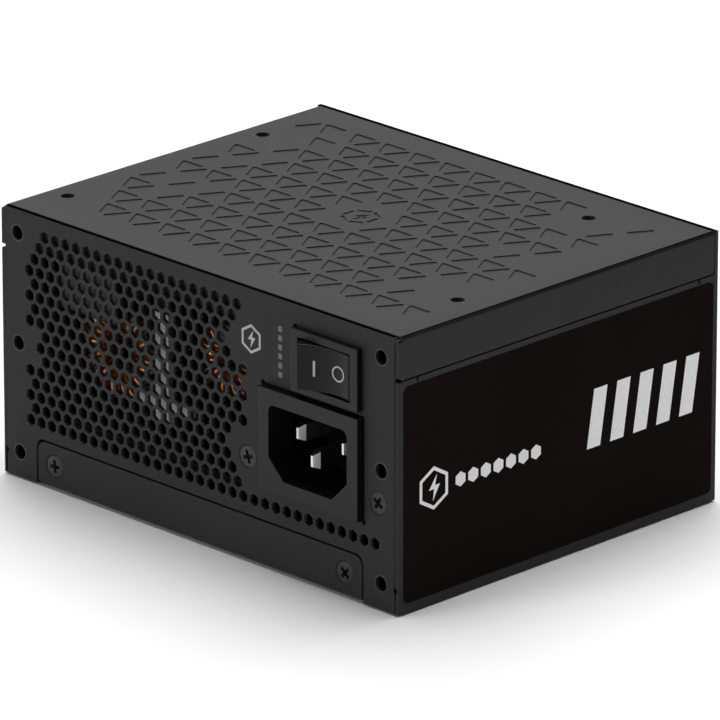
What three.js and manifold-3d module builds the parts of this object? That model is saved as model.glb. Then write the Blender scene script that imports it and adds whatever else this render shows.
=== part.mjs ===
// A small-form-factor computer power supply: sheet-metal case, mains inlet, power switch, fan,
// circuit boards and modular output sockets. Millimetres, +Z up. The mains end faces -Y, the
// output sockets face +Y, the fan is at the bottom and the closed cover is on top.
// Positions are written about the middle of the case footprint, on the plane it stands on.
import * as THREE from "three";
import { mergeVertices } from "three/addons/utils/BufferGeometryUtils.js";
import Module from "manifold-3d";

const wasm = await Module();
wasm.setup();

// Case
const WIDTH = 125;
const DEPTH = 100;
const HEIGHT = 63.5;
const SHEET = 1;
const BEND = 1.3;
const CORNER_R = 0.3;
const SEAM = 0.35;
const HALF_WIDTH = WIDTH / 2;
const HALF_DEPTH = DEPTH / 2;
const MAINS_FACE = -HALF_DEPTH;
const OUTPUT_FACE = HALF_DEPTH;
const COVER_FLANGE = 9.7;
const COVER_EDGE = HEIGHT - COVER_FLANGE;
const COVER_HALF_DEPTH = HALF_DEPTH - SHEET - SEAM;

// Fan-cover flap in each end wall
const FLAP_HALF = 51.3;
const FLAP_TOP = 10.5;
const FLAP_CORNER = 2.3;
const FLAP_SCREW_X = 46;
const FLAP_SCREW_Z = 5.4;

// Slots that free the lower corners of the mains wall from the side walls
const CORNER_SLOT = { x: 61.5, width: 0.4, low: 0.6, notchWidth: 1.1, notchLow: 5, notchTop: 6 };

// Narrow strips beside the mains wall: the front edges of the side walls and of the cover's flanges
const STRIP = { x: 61.4, gap: 0.25, setBack: 0.15, groove: 0.2, low: 53.3, high: 54.3, top: 62.9 };

// Mounting holes in the mains face
const MOUNT_X = 57.2;
const MOUNT_Z = [6, 32, 58];
const MOUNT_HOLE_R = 1.75;

// The switch's cut-out, and round reliefs at corners of both cut-outs, as [x, z, radius]
const SWITCH_CUT = { halfWidth: 9.75, low: 45, high: 57.8 };
const RELIEFS = [
  [20.9, 43, 0.6],
  [51.9, 18.8, 0.6],
  [31.1, 58.15, 0.85],
];

// Honeycomb vents: pointy-top hexagons, clipped around what else is on the face
const HEX_PITCH = 3.401;
const HEX_ROW = (HEX_PITCH * Math.sqrt(3)) / 2;
const HEX_FLATS = 2.5;
const HEX_FIRST = [-53.49, 14.74];
const HEX_ROWS = 16;
const HEX_COLUMNS = 33;
const HEX_LIMIT_X = 15.4;
const HEX_KEEP_OUT = [
  [-MOUNT_X, MOUNT_Z[1], 6.5],
  [-MOUNT_X, MOUNT_Z[2], 6.5],
  [17.5, 52, 7.2],
  [16, 24.6, 6],
];

// Screws with a flush countersunk head
const SCREW_HEAD_R = 2.65;
const SCREW_SHANK_R = 1.35;
const SCREW_LENGTH = 5;

// Mains inlet
const INLET = { x: 36.4, z: 30.9, width: 30.6, height: 23.8, proud: 1.8 };
const INLET_MOUTH = { width: 24.1, top: 39.2, bottom: 22.35, depth: 15.3 };
const INLET_SCREWS = [16, 56.1];
const INLET_SCREW_Z = 24.3;
const PIN = { width: 2, height: 4, spacing: 14, drop: 4, taper: 1.7, tipWidth: 0.6, tipHeight: 2.6 };
const PIN_UPPER_Z = 32.8;

// Power switch
const SWITCH = { x: 41.2, z: 51.4, width: 20.6, height: 14.4, proud: 1.6 };
const ROCKER_MOUTH = { width: 16, height: 11 };
const ROCKER = { radius: 8.59, pivotDepth: 3.8, swing: 24, height: 10.5 };
const ROCKER_PIVOT_Y = MAINS_FACE - SWITCH.proud + ROCKER.pivotDepth;

// Fan
const FAN = { side: 92, bottom: 1.3, thickness: 15, bore: 43.9, screws: 82.5 / 2, blades: 9 };
const FAN_TOP = FAN.bottom + FAN.thickness;
const GRILLE_PITCH = 12.6;
const GRILLE_WEB = 1.3;
const GRILLE_R = 43;

// Circuit boards
const PCB = { bottom: 58.2, thickness: 1.6 };
const STANDOFFS = [
  [-56, -35.7],
  [-56, 25],
  [36.3, 35.75],
  [53.7, -23.2],
];
const MODULAR_PCB_Y = 41;

// Toroidal chokes: the core's radii and half thickness, and the thickness of the winding
const PFC_CHOKE = { middle: [-36.5, -34.6, 32.5], inner: 6, outer: 10.7, half: 4.2, wall: 1.2, sides: 16 };
const EMI_CHOKE = { middle: [1.8, -38.6, 41], inner: 4.2, outer: 8.2, half: 3.2, wall: 0.9, sides: 12 };

// Output sockets: two rows of cells each, at a 4.2 mm pitch
const CELL_PITCH = 4.2;
const CELL = 3.3;
const SOCKET_WALL = 0.7;
const SOCKET_PROUD = 1.2;
const SOCKET_ROWS = [
  { z: 45, sockets: [["socket_board_wide", 9], ["socket_board_narrow", 5], ["socket_drive", 5]] },
  { z: 26, sockets: [["socket_a", 4], ["socket_b", 4], ["socket_c", 4], ["socket_d", 4], ["socket_e", 4]] },
];
const SOCKET_GAP = 2.6;

const FRONT_PROUD = SWITCH.proud + 2.8;
const CASE_SHIFT = (FRONT_PROUD - SOCKET_PROUD) / 2;

// ---------------------------------------------------------------- materials

function finish(color, roughness, metalness = 0) {
  return new THREE.MeshStandardMaterial({ color, roughness, metalness });
}

const COAT = finish(0x2a2a2b, 0.6, 0.4);
const BLACK_PLASTIC = finish(0x1b1b1c, 0.45);
const LABEL_FILM = finish(0x120d0d, 0.3);
const STEEL = finish(0xb8b8b6, 0.3, 1);
const BLACK_STEEL = finish(0x222222, 0.4, 0.8);
const BRASS = finish(0xb59a55, 0.35, 1);
const BOARD = finish(0x17221b, 0.6);
const COPPER = finish(0xb46a35, 0.35, 1);
const FERRITE = finish(0x3a3b3d, 0.7);
const ALUMINIUM = finish(0x9a9c9e, 0.4, 1);
const CAPACITOR = finish(0x24242a, 0.4);
const FILM = finish(0xd8d8d2, 0.5);
const WIRE = finish(0x202020, 0.6);

// ---------------------------------------------------------------- solids

function solidOf(geometry) {
  const bare = geometry.clone();
  bare.deleteAttribute("normal");
  bare.deleteAttribute("uv");
  const merged = mergeVertices(bare, 1e-4);
  const mesh = new wasm.Mesh({
    numProp: 3,
    vertProperties: merged.attributes.position.array,
    triVerts: new Uint32Array(merged.index.array),
  });
  return new wasm.Manifold(mesh);
}

function named(name, solid, material) {
  const { vertProperties, triVerts } = solid.getMesh();
  const geometry = new THREE.BufferGeometry();
  geometry.setAttribute("position", new THREE.BufferAttribute(new Float32Array(vertProperties), 3));
  geometry.setIndex(new THREE.BufferAttribute(new Uint32Array(triVerts), 1));
  geometry.computeVertexNormals();
  const mesh = new THREE.Mesh(geometry, material);
  mesh.name = name;
  return mesh;
}

function box(x0, x1, y0, y1, z0, z1) {
  const geometry = new THREE.BoxGeometry(x1 - x0, y1 - y0, z1 - z0);
  return solidOf(geometry.translate((x0 + x1) / 2, (y0 + y1) / 2, (z0 + z1) / 2));
}

// A cylinder or cone along Z. The first radius is at z0.
function postZ(x, y, z0, z1, r0, r1 = r0, sides = 10) {
  const geometry = new THREE.CylinderGeometry(r1, r0, z1 - z0, sides).rotateX(Math.PI / 2);
  return solidOf(geometry.translate(x, y, (z0 + z1) / 2));
}

// A cylinder or cone along Y. The first radius is at y0.
function postY(x, z, y0, y1, r0, r1 = r0, sides = 10) {
  const geometry = new THREE.CylinderGeometry(r1, r0, y1 - y0, sides);
  return solidOf(geometry.translate(x, (y0 + y1) / 2, z));
}

function extruded(shapes, depth, curveSegments) {
  return new THREE.ExtrudeGeometry(shapes, { depth, bevelEnabled: false, curveSegments });
}

// Shapes drawn in X and Y, and extruded along Z.
function slabXY(shapes, z0, z1, curveSegments = 3) {
  return solidOf(extruded(shapes, z1 - z0, curveSegments).translate(0, 0, z0));
}

// Shapes drawn in X and Z, and extruded along Y.
function slabXZ(shapes, y0, y1, curveSegments = 3) {
  const geometry = extruded(shapes, y1 - y0, curveSegments).rotateX(Math.PI / 2);
  return solidOf(geometry.translate(0, y1, 0));
}

// Shapes drawn in Y and Z, and extruded along X.
function slabYZ(shapes, x0, x1, curveSegments = 3) {
  const geometry = extruded(shapes, x1 - x0, curveSegments).rotateX(Math.PI / 2);
  return solidOf(geometry.rotateZ(Math.PI / 2).translate(x0, 0, 0));
}

function roundedRect(u0, u1, v0, v1, r) {
  const shape = new THREE.Shape();
  shape.moveTo(u0 + r, v0);
  shape.lineTo(u1 - r, v0);
  shape.absarc(u1 - r, v0 + r, r, -Math.PI / 2, 0);
  shape.lineTo(u1, v1 - r);
  shape.absarc(u1 - r, v1 - r, r, 0, Math.PI / 2);
  shape.lineTo(u0 + r, v1);
  shape.absarc(u0 + r, v1 - r, r, Math.PI / 2, Math.PI);
  shape.lineTo(u0, v0 + r);
  shape.absarc(u0 + r, v0 + r, r, Math.PI, 1.5 * Math.PI);
  return shape;
}

// A regular polygon with a corner at the angle `start`.
function polygon(u, v, r, sides, start = 0) {
  const corners = [];
  for (let i = 0; i < sides; i++) {
    const angle = start + (2 * Math.PI * i) / sides;
    corners.push(new THREE.Vector2(u + r * Math.cos(angle), v + r * Math.sin(angle)));
  }
  return new THREE.Shape(corners);
}

function outline(points) {
  return new THREE.Shape(points.map(([u, v]) => new THREE.Vector2(u, v)));
}

function rectangle(u0, u1, v0, v1) {
  return outline([[u0, v0], [u1, v0], [u1, v1], [u0, v1]]);
}

function union(solids) {
  return solids.reduce((sum, solid) => sum.add(solid));
}

// Solid parts of revolution about Z, from a closed profile of [radius, z] points.
function turnedZ(profile, sides) {
  const points = profile.map(([r, z]) => new THREE.Vector2(r, z));
  return solidOf(new THREE.LatheGeometry(points, sides).rotateX(Math.PI / 2));
}

// A round wire or lead of radius r through the given points.
function wireThrough(points, r, steps, sides = 8) {
  const path = new THREE.CatmullRomCurve3(points.map((p) => new THREE.Vector3(...p)));
  const section = polygon(0, 0, r, sides);
  return solidOf(new THREE.ExtrudeGeometry(section, { steps, extrudePath: path }));
}

// ---------------------------------------------------------------- screws

const CROSS = { length: 2.6, width: 0.6, depth: 0.9 };

// A countersunk screw whose head is flush with a face at the origin. It points along -Z.
function screwSolid() {
  const cone = postZ(0, 0, -1, 0, SCREW_SHANK_R, SCREW_HEAD_R, 12);
  const shank = postZ(0, 0, -SCREW_LENGTH, -0.9, SCREW_SHANK_R, SCREW_SHANK_R, 8);
  const { length, width, depth } = CROSS;
  const slotA = box(-length / 2, length / 2, -width / 2, width / 2, -depth, 1);
  const slotB = box(-width / 2, width / 2, -length / 2, length / 2, -depth, 1);
  return cone.add(shank).subtract(slotA).subtract(slotB);
}

function screw(name, position, rotation) {
  const mesh = named(name, screwSolid(), BLACK_STEEL);
  mesh.position.set(...position);
  mesh.rotation.set(...rotation);
  return mesh;
}

const FACING_MAINS = [Math.PI / 2, 0, 0];
const FACING_OUTPUT = [-Math.PI / 2, 0, 0];
const FACING_DOWN = [Math.PI, 0, 0];
const SINK = 0.15;

// The countersink that such a screw sits in, cut along Y from an outer face.
function countersinkY(x, z, face, inward) {
  const inner = face + inward * (SHEET + 0.2);
  const r = [SCREW_HEAD_R + 0.35, SCREW_SHANK_R + 0.35];
  return inward > 0 ? postY(x, z, face, inner, r[0], r[1]) : postY(x, z, inner, face, r[1], r[0]);
}

// ---------------------------------------------------------------- case

function isVent(x, z, row) {
  if (row > 0 && x > HEX_LIMIT_X) return false;
  return HEX_KEEP_OUT.every(([u, v, r]) => Math.hypot(x - u, z - v) > r);
}

function ventShapes() {
  const shapes = [];
  for (let row = 0; row < HEX_ROWS; row++) {
    for (let column = 0; column < HEX_COLUMNS; column++) {
      const x = HEX_FIRST[0] + (column + (row % 2) / 2) * HEX_PITCH;
      const z = HEX_FIRST[1] + row * HEX_ROW;
      if (isVent(x, z, row)) shapes.push(polygon(x, z, HEX_FLATS / Math.sqrt(3), 6, Math.PI / 6));
    }
  }
  return shapes;
}

function centred(x, z, width, height, clearance = 0) {
  const u = width / 2 + clearance;
  const v = height / 2 + clearance;
  return [x - u, x + u, z - v, z + v];
}

function mainsFaceCuts() {
  const { halfWidth, low, high } = SWITCH_CUT;
  const inlet = rectangle(...centred(INLET.x, INLET.z, INLET.width, INLET.height, 0.3));
  const body = rectangle(SWITCH.x - halfWidth, SWITCH.x + halfWidth, low, high);
  const cuts = [...ventShapes(), inlet, body];
  for (const z of MOUNT_Z) {
    cuts.push(polygon(-MOUNT_X, z, MOUNT_HOLE_R, 10), polygon(MOUNT_X, z, MOUNT_HOLE_R, 10));
  }
  const [y0, y1] = [MAINS_FACE - 1, MAINS_FACE + SHEET + 0.5];
  const reliefs = RELIEFS.map(([x, z, r]) => polygon(x, z, r, 12));
  return slabXZ(cuts, y0, y1).add(slabXZ(reliefs, y0, y1));
}

function socketPlaces() {
  const places = [];
  for (const { z, sockets } of SOCKET_ROWS) {
    const widths = sockets.map(([, columns]) => columns * CELL_PITCH + 2 * SOCKET_WALL);
    const total = widths.reduce((sum, width) => sum + width, 0) + SOCKET_GAP * (sockets.length - 1);
    let left = -total / 2;
    sockets.forEach(([name, columns], i) => {
      places.push({ name, columns, z, x: left + widths[i] / 2, width: widths[i] });
      left += widths[i] + SOCKET_GAP;
    });
  }
  return places;
}

const SOCKET_HEIGHT = 2 * CELL_PITCH + 2 * SOCKET_WALL;

function outputFaceCuts() {
  const cuts = socketPlaces().map(({ x, z, width }) =>
    rectangle(...centred(x, z, width, SOCKET_HEIGHT, 0.3)));
  return slabXZ(cuts, OUTPUT_FACE - SHEET - 0.5, OUTPUT_FACE + 1);
}

// The strip that the flap screws bite into: it steps inwards behind the flap.
function screwStrip(face, inward) {
  const outer = face + inward * (SHEET + 0.5);
  const inner = outer + inward * SHEET;
  const [y0, y1] = [Math.min(outer, inner), Math.max(outer, inner)];
  const [b0, b1] = [Math.min(face + inward * 0.5, inner), Math.max(face + inward * 0.5, inner)];
  const strip = box(-50.5, 50.5, y0, y1, 2.8, FLAP_TOP + 1.8);
  const step = box(-50.5, 50.5, b0, b1, FLAP_TOP + 0.8, FLAP_TOP + 1.8);
  const holes = [-FLAP_SCREW_X, FLAP_SCREW_X].map((x) => postY(x, FLAP_SCREW_Z, y0 - 1, y1 + 1, 1.65));
  return strip.add(step).subtract(union(holes));
}

function cornerSlots() {
  const { x, width, low, notchWidth, notchLow, notchTop } = CORNER_SLOT;
  const [y0, y1] = [MAINS_FACE - 1, MAINS_FACE + SHEET + 0.3];
  return union([-x, x].flatMap((u) => [
    box(u - width / 2, u + width / 2, y0, y1, low, notchTop),
    box(u - notchWidth / 2, u + notchWidth / 2, y0, y1, notchLow, notchTop),
  ]));
}

// What the side walls lose at the mains end: a groove beside the wall, and room for the cover's flange.
function stripCuts() {
  const { x, gap, setBack, groove, low } = STRIP;
  const front = MAINS_FACE - 1;
  const boxes = [
    box(x - gap, x, front, MAINS_FACE + groove, CORNER_SLOT.notchTop, low + 1),
    box(x - gap, HALF_WIDTH + 1, front, MAINS_FACE + setBack, CORNER_SLOT.notchTop, low + 1),
    box(x - gap, HALF_WIDTH + 1, front, MAINS_FACE + SHEET + SEAM, low, HEIGHT + 1),
  ];
  const right = union(boxes);
  return right.add(right.mirror([1, 0, 0]));
}

function chassis() {
  const outer = roundedRect(-HALF_WIDTH, HALF_WIDTH, -HALF_DEPTH, HALF_DEPTH, CORNER_R);
  const [u, v] = [HALF_WIDTH - SHEET, HALF_DEPTH - SHEET];
  outer.holes.push(roundedRect(-u, u, -v, v, CORNER_R));
  const coverRoom = roundedRect(-v - SEAM + 0.5, v + SEAM - 0.5, COVER_EDGE - SEAM, HEIGHT + 5, 0.8);
  const flapRoom = roundedRect(-FLAP_HALF - 0.45, FLAP_HALF + 0.45, -5, FLAP_TOP + 0.45, FLAP_CORNER);
  const walls = slabXY(outer, 0, HEIGHT)
    .subtract(slabYZ(coverRoom, -HALF_WIDTH - 1, HALF_WIDTH + 1))
    .subtract(slabXZ(flapRoom, -HALF_DEPTH - 1, HALF_DEPTH + 1))
    .subtract(mainsFaceCuts())
    .subtract(outputFaceCuts());
  const reliefs = [-44.2, 43.9].map((y) =>
    box(-HALF_WIDTH - 1, HALF_WIDTH + 1, y - 0.3, y + 0.3, COVER_EDGE - 1.3, COVER_EDGE));
  const sinks = INLET_SCREWS.map((x) => countersinkY(x, INLET_SCREW_Z, MAINS_FACE, 1));
  const ledges = [-1, 1].map((side) => {
    const [x0, x1] = side < 0 ? [-u - 0.2, -53] : [53, u + 0.2];
    return box(x0, x1, -47, 47, 1.4, 2.4);
  });
  return walls
    .subtract(cornerSlots())
    .subtract(stripCuts())
    .subtract(union(reliefs))
    .subtract(union(sinks))
    .add(union(ledges))
    .add(screwStrip(MAINS_FACE, 1))
    .add(screwStrip(OUTPUT_FACE, -1));
}

function topCover() {
  const inside = HALF_WIDTH - SHEET;
  const bend = new THREE.Shape();
  bend.moveTo(-HALF_WIDTH, COVER_EDGE);
  bend.lineTo(-inside, COVER_EDGE);
  bend.lineTo(-inside, HEIGHT - SHEET);
  bend.lineTo(inside, HEIGHT - SHEET);
  bend.lineTo(inside, COVER_EDGE);
  bend.lineTo(HALF_WIDTH, COVER_EDGE);
  bend.lineTo(HALF_WIDTH, HEIGHT - BEND);
  bend.absarc(HALF_WIDTH - BEND, HEIGHT - BEND, BEND, 0, Math.PI / 2);
  bend.lineTo(-HALF_WIDTH + BEND, HEIGHT);
  bend.absarc(-HALF_WIDTH + BEND, HEIGHT - BEND, BEND, Math.PI / 2, Math.PI);
  const side = roundedRect(-COVER_HALF_DEPTH, COVER_HALF_DEPTH, COVER_EDGE, HEIGHT + 5, 0.9);
  const holes = STANDOFFS.map(([x, y]) => postZ(x, y, HEIGHT - 2, HEIGHT + 1, 1.6));
  const lip = COVER_HALF_DEPTH;
  const strip = slabXZ(outline([[STRIP.x, STRIP.high], [HALF_WIDTH, STRIP.high],
    [HALF_WIDTH, STRIP.top - 0.5], [HALF_WIDTH - 0.4, STRIP.top], [STRIP.x, STRIP.top]]),
  MAINS_FACE + STRIP.setBack, -lip + 1);
  return slabXZ(bend, -COVER_HALF_DEPTH, COVER_HALF_DEPTH)
    .intersect(slabYZ(side, -HALF_WIDTH - 1, HALF_WIDTH + 1))
    .add(strip)
    .add(strip.mirror([1, 0, 0]))
    .add(box(-55, 25, -lip, -lip + SHEET, 54.5, HEIGHT - 0.5))
    .add(box(-55, 55, lip - SHEET, lip, 56, HEIGHT - 0.5))
    .subtract(union(holes));
}

// Alternating upright and inverted triangles inside the fan's circle, around a closed centre.
function grilleShapes() {
  const shapes = [];
  const rowHeight = (GRILLE_PITCH * Math.sqrt(3)) / 2;
  const r = GRILLE_PITCH / Math.sqrt(3) - GRILLE_WEB;
  for (let row = -4; row <= 4; row++) {
    for (let column = -7; column <= 7; column++) {
      const x = (column * GRILLE_PITCH) / 2;
      const inverted = (row + column) % 2 === 0;
      const y = row * rowHeight + ((inverted ? 1 : -1) * rowHeight) / 6;
      const reach = Math.hypot(x, y);
      if (reach + r > GRILLE_R || reach < 15) continue;
      shapes.push(polygon(x, y, r, 3, inverted ? -Math.PI / 2 : Math.PI / 2));
    }
  }
  return shapes;
}

function fanCover() {
  const [out, inn] = [HALF_DEPTH, HALF_DEPTH - SHEET];
  const profile = new THREE.Shape();
  profile.moveTo(-out, FLAP_TOP);
  profile.lineTo(-out, BEND);
  profile.absarc(-out + BEND, BEND, BEND, Math.PI, 1.5 * Math.PI);
  profile.lineTo(out - BEND, 0);
  profile.absarc(out - BEND, BEND, BEND, -Math.PI / 2, 0);
  profile.lineTo(out, FLAP_TOP);
  profile.lineTo(inn, FLAP_TOP);
  profile.lineTo(inn, SHEET);
  profile.lineTo(-inn, SHEET);
  profile.lineTo(-inn, FLAP_TOP);
  const front = roundedRect(-FLAP_HALF, FLAP_HALF, -5, FLAP_TOP, FLAP_CORNER);
  const plate = box(-61.1, 61.1, -48.5, 48.5, 0, SHEET);
  const corners = [-1, 1].flatMap((i) => [-1, 1].map((j) => [i * FAN.screws, j * FAN.screws]));
  const sinks = corners.map(([x, y]) => postZ(x, y, -0.01, SHEET + 0.2, SCREW_HEAD_R + 0.35, 1.7));
  const flapSinks = [-FLAP_SCREW_X, FLAP_SCREW_X].flatMap((x) => [
    countersinkY(x, FLAP_SCREW_Z, MAINS_FACE, 1),
    countersinkY(x, FLAP_SCREW_Z, OUTPUT_FACE, -1),
  ]);
  return slabYZ(profile, -FLAP_HALF, FLAP_HALF)
    .intersect(slabXZ(front, -out - 1, out + 1))
    .add(plate)
    .subtract(union(sinks))
    .subtract(union(flapSinks))
    .subtract(slabXY(grilleShapes(), -1, SHEET + 1));
}

function label(side) {
  const shape = roundedRect(-48.5, 48.3, 2.25, 52.1, 1.5);
  const [near, far] = [HALF_WIDTH + 0.02, HALF_WIDTH + 0.17];
  return side > 0 ? slabYZ(shape, near, far) : slabYZ(shape, -far, -near);
}

// ---------------------------------------------------------------- mains inlet

function inletMouthShape() {
  const { width, top, bottom } = INLET_MOUTH;
  const [x0, x1] = [INLET.x - width / 2, INLET.x + width / 2];
  const chamfer = 4.7;
  const shape = new THREE.Shape();
  shape.moveTo(x0 + chamfer, bottom);
  shape.lineTo(x1 - chamfer, bottom);
  shape.lineTo(x1, bottom + chamfer);
  shape.lineTo(x1, top - 1.7);
  shape.absarc(x1 - 1.7, top - 1.7, 1.7, 0, Math.PI / 2);
  shape.lineTo(x0 + 1.7, top);
  shape.absarc(x0 + 1.7, top - 1.7, 1.7, Math.PI / 2, Math.PI);
  shape.lineTo(x0, bottom + chamfer);
  return shape;
}

function pinPlaces() {
  const [upper, half] = [PIN_UPPER_Z, PIN.spacing / 2];
  return [
    { name: "inlet_pin_live", x: INLET.x - half, z: upper, tip: -47.9 },
    { name: "inlet_pin_neutral", x: INLET.x + half, z: upper, tip: -47.9 },
    { name: "inlet_pin_earth", x: INLET.x, z: upper - PIN.drop, tip: -50.4 },
  ];
}

function inletHousing() {
  const front = MAINS_FACE - INLET.proud;
  const floor = front + INLET_MOUTH.depth;
  const face = roundedRect(...centred(INLET.x, INLET.z, INLET.width, INLET.height), 0.4);
  const behind = MAINS_FACE + SHEET + 0.3;
  const ears = roundedRect(11.6, 60.6, 19.6, 29, 3);
  const shoulder = roundedRect(19.6, 53.2, 17.7, 43.9, 1);
  const slots = pinPlaces().map(({ x, z }) => box(x - 1.3, x + 1.3, floor - 1, floor + 5, z - 2.3, z + 2.3));
  const bores = INLET_SCREWS.map((x) => postY(x, INLET_SCREW_Z, behind - 1, behind + 4, 1.65));
  return slabXZ(face, front, behind + 1)
    .add(slabXZ([shoulder], behind, behind + 2.5))
    .add(slabXZ([ears], behind, behind + 2.5))
    .add(box(22.6, 50.2, behind + 2, floor + 2.6, 20.8, 41))
    .subtract(slabXZ(inletMouthShape(), front - 1, floor))
    .subtract(union(slots))
    .subtract(union(bores));
}

// A flat blade with a wedge tip, and a narrower tab for its wire behind the housing.
function inletPin({ x, z, tip }) {
  const [w, h] = [PIN.width / 2, PIN.height / 2];
  const [tipW, tipH] = [PIN.tipWidth / 2, PIN.tipHeight / 2];
  const full = tip + PIN.taper;
  const side = outline([[tip, z - tipH], [full, z - h], [-31, z - h], [-31, z - h + 0.6],
    [-26, z - h + 0.6], [-26, z + h - 0.6], [-31, z + h - 0.6], [-31, z + h], [full, z + h],
    [tip, z + tipH]]);
  const top = outline([[x - tipW, tip], [x + tipW, tip], [x + w, full], [x + w, -31], [x + 0.4, -31],
    [x + 0.4, -25.9], [x - 0.4, -25.9], [x - 0.4, -31], [x - w, -31], [x - w, full]]);
  return slabYZ(side, x - w, x + w).intersect(slabXY(top, z - h - 1, z + h + 1));
}

// ---------------------------------------------------------------- power switch

function switchHousing() {
  const front = MAINS_FACE - SWITCH.proud;
  const bezel = roundedRect(...centred(SWITCH.x, SWITCH.z, SWITCH.width, SWITCH.height), 0.4);
  const mouth = roundedRect(...centred(SWITCH.x, SWITCH.z, ROCKER_MOUTH.width, ROCKER_MOUTH.height), 0.3);
  const [x, z] = [SWITCH.x, SWITCH.z];
  const half = ROCKER_MOUTH.height / 2;
  const back = -38;
  return slabXZ(bezel, front, MAINS_FACE - 0.05)
    .add(box(x - 9.5, x + 9.5, MAINS_FACE - 0.5, back, z - 6.15, z + 6.15))
    .subtract(slabXZ(mouth, front - 1, front + 2))
    .subtract(box(x - 8.85, x + 8.85, front + 0.45, back - 1.2, z - half, z + half))
    .subtract(postZ(x, ROCKER_PIVOT_Y, z - 8, z + 8, 1.3, 1.3, 12))
    .subtract(union([-3, 3].map((u) =>
      box(x + u - 0.65, x + u + 0.65, back - 2, back + 1, z - 2.7, z + 2.7))));
}

// The rocker, drawn about its pivot and turned to rest with its right side pressed in.
function rocker() {
  const { radius, swing, pivotDepth, height } = ROCKER;
  const pressed = Math.acos(pivotDepth / radius);
  const corner = pressed - THREE.MathUtils.degToRad(swing / 2);
  const [cx, cy] = [radius * Math.sin(corner), -radius * Math.cos(corner)];
  const skirt = THREE.MathUtils.degToRad(20);
  const shape = new THREE.Shape();
  shape.moveTo(-cx, cy);
  shape.quadraticCurveTo(0, cy + 3, cx, cy);
  shape.absarc(0, 0, radius, -Math.PI / 2 + corner, -Math.PI / 2 + corner + skirt);
  shape.lineTo(3, 2.4);
  shape.lineTo(-3, 2.4);
  shape.absarc(0, 0, radius, -Math.PI / 2 - corner - skirt, -Math.PI / 2 - corner);
  const body = slabXY(shape, -height / 2, height / 2, 6);
  const axle = postZ(0, 0, -height / 2 - 0.55, height / 2 + 0.55, 1.05, 1.05, 12);
  const mesh = named("power_rocker", body.add(axle), BLACK_PLASTIC);
  mesh.position.set(SWITCH.x, ROCKER_PIVOT_Y, SWITCH.z);
  mesh.rotation.z = THREE.MathUtils.degToRad(swing / 2);
  return mesh;
}

function switchTerminal(offset) {
  const x = SWITCH.x + offset;
  return box(x - 0.4, x + 0.4, -38.9, -31, SWITCH.z - 2.4, SWITCH.z + 2.4);
}

// ---------------------------------------------------------------- fan

function fanFrame() {
  const half = FAN.side / 2;
  const body = roundedRect(-half, half, -half, half, 4);
  body.holes.push(polygon(0, 0, FAN.bore, 40));
  const struts = [0, 1, 2, 3].map((i) => {
    const strut = new THREE.BoxGeometry(29, 3.4, 1.8).translate(30, 0, 0);
    strut.rotateZ(Math.PI / 4 + (i * Math.PI) / 2).translate(0, 0, FAN_TOP - 0.9);
    return solidOf(strut);
  });
  const bores = [-1, 1].flatMap((i) => [-1, 1].map((j) =>
    postZ(i * FAN.screws, j * FAN.screws, 0, FAN_TOP + 1, 2.15, 2.15, 12)));
  return slabXY(body, FAN.bottom, FAN_TOP)
    .subtract(union(bores))
    .add(postZ(0, 0, FAN_TOP - 1.8, FAN_TOP, 17, 17, 20))
    .add(union(struts));
}

// One blade: a flat bar bent into a swept, pitched sheet between the hub and the tip.
function bladeSolid(index) {
  const bar = new THREE.BoxGeometry(1, 1, 1, 4, 3, 1);
  const place = bar.attributes.position;
  const start = (index * 2 * Math.PI) / FAN.blades;
  for (let i = 0; i < place.count; i++) {
    const [out, chord, skin] = [place.getX(i) + 0.5, place.getY(i), place.getZ(i)];
    const r = 16.2 + 26.2 * out;
    const angle = start + 0.35 * out + chord * (0.62 - 0.08 * out);
    const camber = 1.2 * (1 - 4 * chord * chord);
    const z = 7.6 + chord * (8.2 - 2 * out) + camber + skin * (1.2 - 0.4 * out);
    place.setXYZ(i, r * Math.cos(angle), r * Math.sin(angle), z);
  }
  return solidOf(bar);
}

function fanRotor() {
  const profile = [[0, 2.6], [15.6, 2.6], [17, 3.6], [17, 12.6], [15.6, 12.6], [15.6, 4.2], [0, 4.2]];
  const hub = turnedZ(profile, 20);
  const blades = [];
  for (let i = 0; i < FAN.blades; i++) blades.push(bladeSolid(i));
  return hub.add(union(blades));
}

const fanShaft = () => postZ(0, 0, 4.7, 13, 1.5, 1.5, 12);
const fanBearing = () => turnedZ([[1.8, 5], [4.5, 5], [4.5, 14.2], [1.8, 14.2], [1.8, 5]], 12);

// ---------------------------------------------------------------- boards

function mainBoard() {
  const top = PCB.bottom + PCB.thickness;
  const holes = STANDOFFS.map(([x, y]) => postZ(x, y, PCB.bottom - 1, top + 1, 1.3, 1.3, 8));
  return box(-60, 60, -46.5, MODULAR_PCB_Y - 0.6, PCB.bottom, top)
    .subtract(union(holes));
}

function standoff([x, y]) {
  const low = PCB.bottom + PCB.thickness + 0.1;
  return turnedZ([[1.35, low], [3, low], [3, HEIGHT - SHEET - 0.1], [1.35, HEIGHT - SHEET - 0.1],
    [1.35, low]], 12).translate([x, y, 0]);
}

function insulationSheet() {
  const holes = STANDOFFS.map(([x, y]) => postZ(x, y, 60, 62, 3.5, 3.5, 8));
  return box(-59, 59, -45.5, 45.5, 60.9, 61.2).subtract(union(holes));
}

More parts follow.
